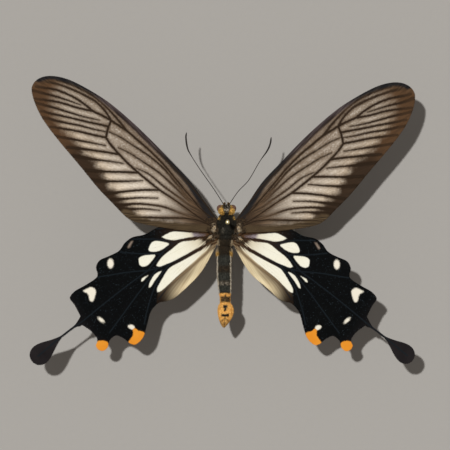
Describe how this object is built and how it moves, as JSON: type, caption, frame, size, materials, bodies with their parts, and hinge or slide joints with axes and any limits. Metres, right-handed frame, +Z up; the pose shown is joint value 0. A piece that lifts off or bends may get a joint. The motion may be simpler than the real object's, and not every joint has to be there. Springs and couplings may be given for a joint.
{
  "type": "pinned butterfly specimen",
  "caption": "Set clubtail butterfly with wings spread flat and club-ended tails, on an insect pin that stands in a small pinning block.",
  "frame": {"origin": "on the pin's axis, at the underside of the pinning block", "axes": "+Z up along the pin, +Y to the head, +X to the specimen's right wing"},
  "size_m": [0.108, 0.0812, 0.041],
  "materials": {
    "wing_smoky": "matt, translucent smoky brown scales between dark veins",
    "wing_black": "matt blue-black scales",
    "cuticle_black": "black cuticle with short hair",
    "cuticle_orange": "orange scales on the abdomen's last rings",
    "eye_brown": "glossy dark brown",
    "pin_brass": "polished",
    "block_grey": "matt, painted pale grey"
  },
  "bodies": {
    "root": {"abdomen": "cuticle_black", "antenna_left": "cuticle_black", "antenna_right": "cuticle_black", "clasper_left": "cuticle_orange", "clasper_right": "cuticle_orange", "eye_left": "eye_brown", "eye_right": "eye_brown", "foreleg_left": "cuticle_black", "foreleg_right": "cuticle_black", "forewing_left": "wing_smoky", "forewing_right": "wing_smoky", "head": "cuticle_black", "hindleg_left": "cuticle_black", "hindleg_right": "cuticle_black", "hindwing_left": "wing_black", "hindwing_right": "wing_black", "metathorax": "cuticle_black", "midleg_left": "cuticle_black", "midleg_right": "cuticle_black", "palp_left": "cuticle_black", "palp_right": "cuticle_black", "proboscis": "cuticle_black", "prothorax": "cuticle_black", "stand_block": "block_grey", "stand_pin": "pin_brass", "tail_left": "wing_black", "tail_right": "wing_black", "tegula_left": "cuticle_black", "tegula_right": "cuticle_black", "thorax": "cuticle_black"}
  },
  "joints": []
}
